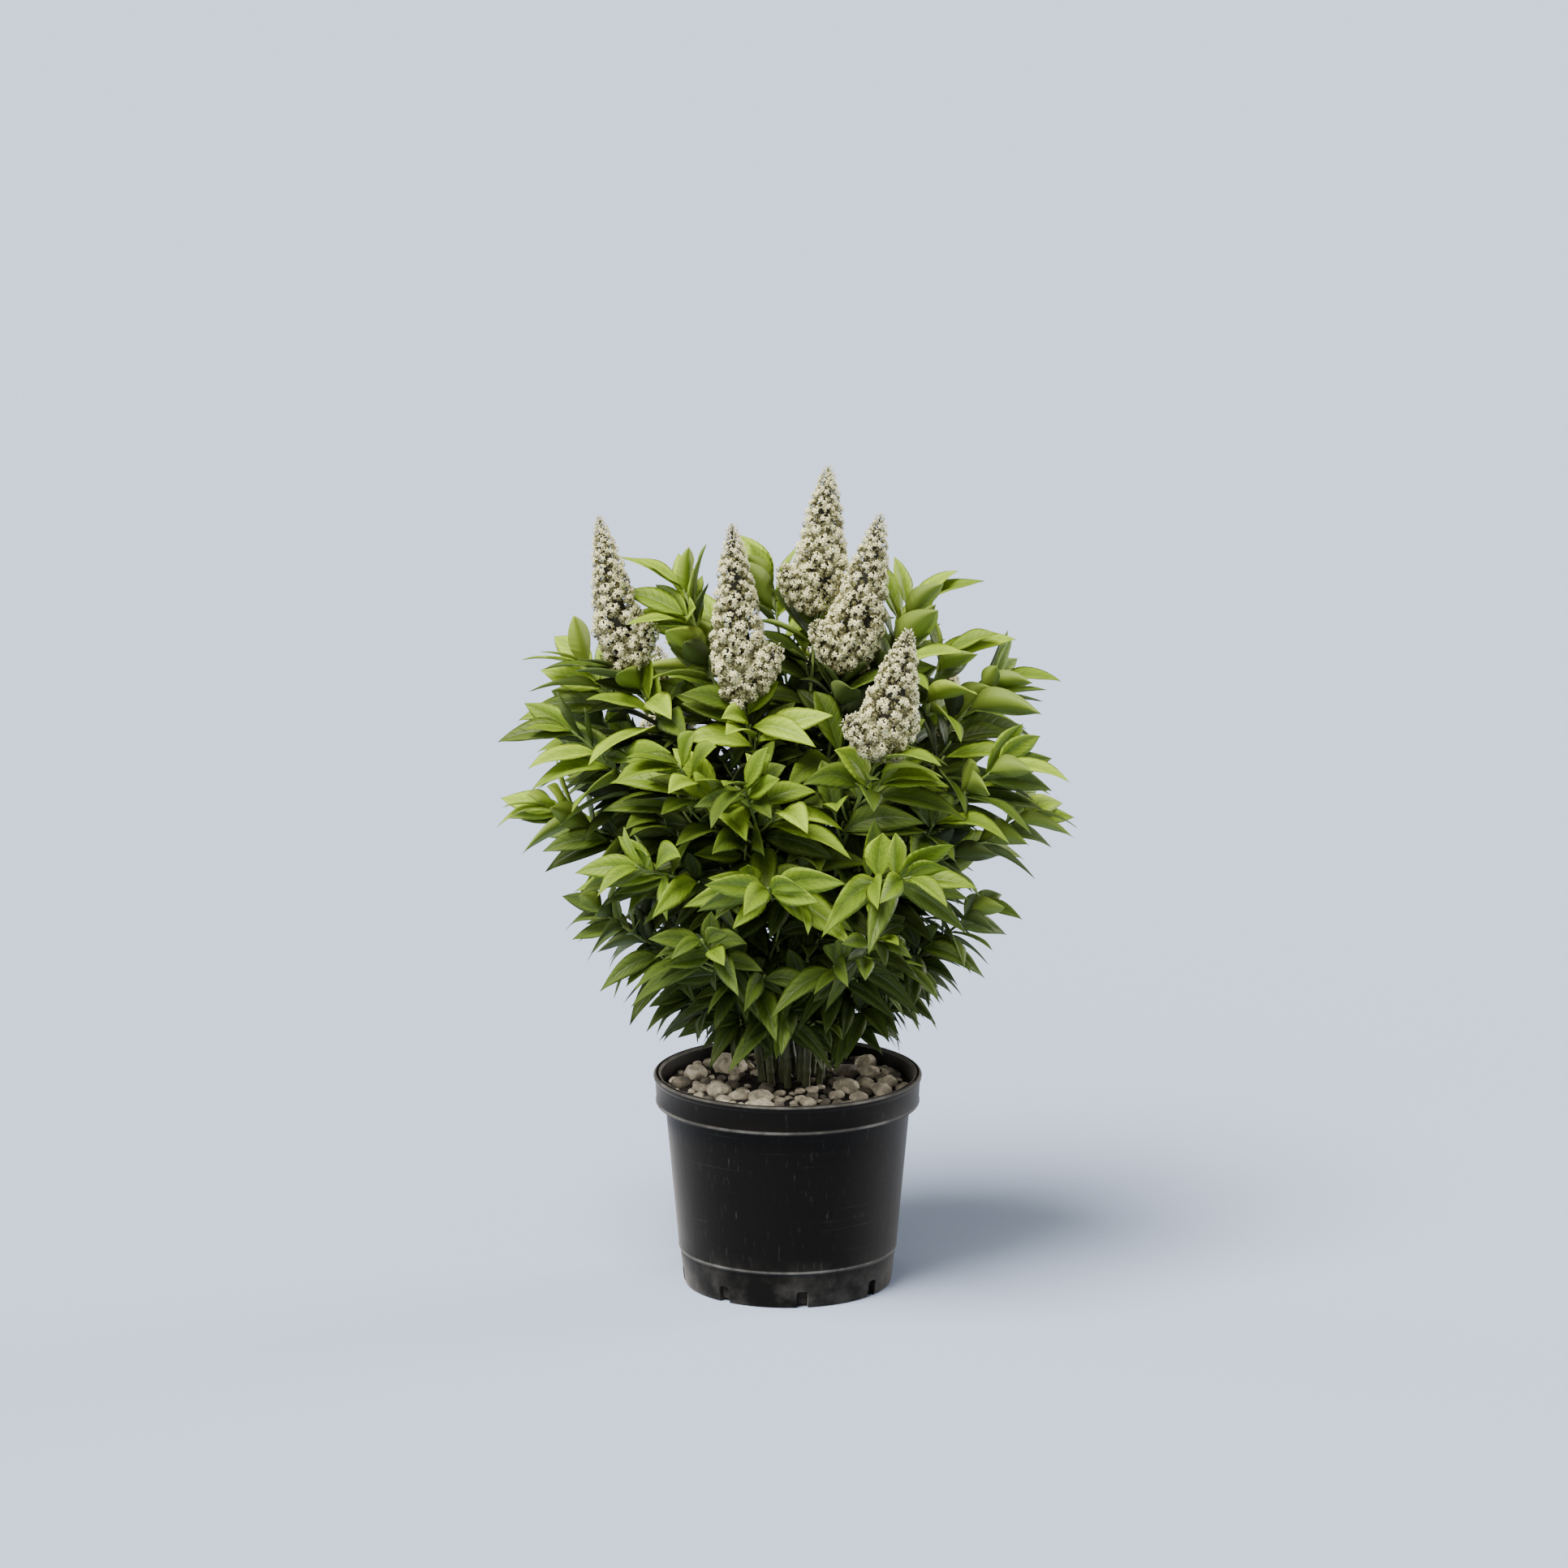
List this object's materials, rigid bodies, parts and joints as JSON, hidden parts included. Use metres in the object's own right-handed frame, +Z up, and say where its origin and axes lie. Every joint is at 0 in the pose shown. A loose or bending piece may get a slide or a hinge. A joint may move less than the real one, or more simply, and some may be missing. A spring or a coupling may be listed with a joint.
{
  "type": "potted cherry laurel",
  "caption": "Bushy evergreen shrub in flower, with glossy pointed leaves on many canes and upright cream blossom spikes, standing in a round black nursery pot of soil and stones.",
  "frame": {"origin": "centre of the pot's flat underside, where it stands on the ground", "axes": "+Z up along the pot's axis; -Y towards the viewer of the picture, the plant's front; +X to that viewer's right"},
  "size_m": [0.6046, 0.5596, 0.862],
  "materials": {
    "pot": "moulded black plastic, half gloss",
    "soil": "moist dark compost, rough",
    "stone": "worn beige-grey pebble, matt",
    "cane": "green-brown bark, matt",
    "foliage": "leathery yellow-green leaf, half gloss",
    "blossom": "cream petals, matt"
  },
  "bodies": {
    "root": {"pot": "pot", "soil": "soil", "stone_1": "stone", "stone_2": "stone", "stone_3": "stone", "stone_4": "stone", "stone_5": "stone", "stone_6": "stone", "cane_left_flower": "cane", "cane_middle_flower": "cane", "cane_tall_flower": "cane", "cane_right_flower": "cane", "cane_front_flower": "cane", "cane_back_left_flower": "cane", "cane_back_flower": "cane", "cane_back_right_flower": "cane", "cane_left": "cane", "cane_back_left": "cane", "cane_right": "cane", "cane_front_right": "cane", "cane_front_left": "cane", "cane_front": "cane", "foliage_left_flower": "foliage", "foliage_middle_flower": "foliage", "foliage_tall_flower": "foliage", "foliage_right_flower": "foliage", "foliage_front_flower": "foliage", "foliage_back_left_flower": "foliage", "foliage_back_flower": "foliage", "foliage_back_right_flower": "foliage", "foliage_left": "foliage", "foliage_back_left": "foliage", "foliage_right": "foliage", "foliage_front_right": "foliage", "foliage_front_left": "foliage", "foliage_front": "foliage", "foliage_waist_1": "foliage", "foliage_waist_2": "foliage", "foliage_waist_3": "foliage", "foliage_waist_4": "foliage", "foliage_waist_5": "foliage", "foliage_waist_6": "foliage", "foliage_waist_7": "foliage", "foliage_skirt_1": "foliage", "foliage_skirt_2": "foliage", "foliage_skirt_3": "foliage", "foliage_skirt_4": "foliage", "foliage_skirt_5": "foliage", "foliage_skirt_6": "foliage", "foliage_skirt_7": "foliage", "blossom_left_flower": "blossom", "blossom_middle_flower": "blossom", "blossom_tall_flower": "blossom", "blossom_right_flower": "blossom", "blossom_front_flower": "blossom", "blossom_back_left_flower": "blossom", "blossom_back_flower": "blossom", "blossom_back_right_flower": "blossom"}
  },
  "joints": []
}
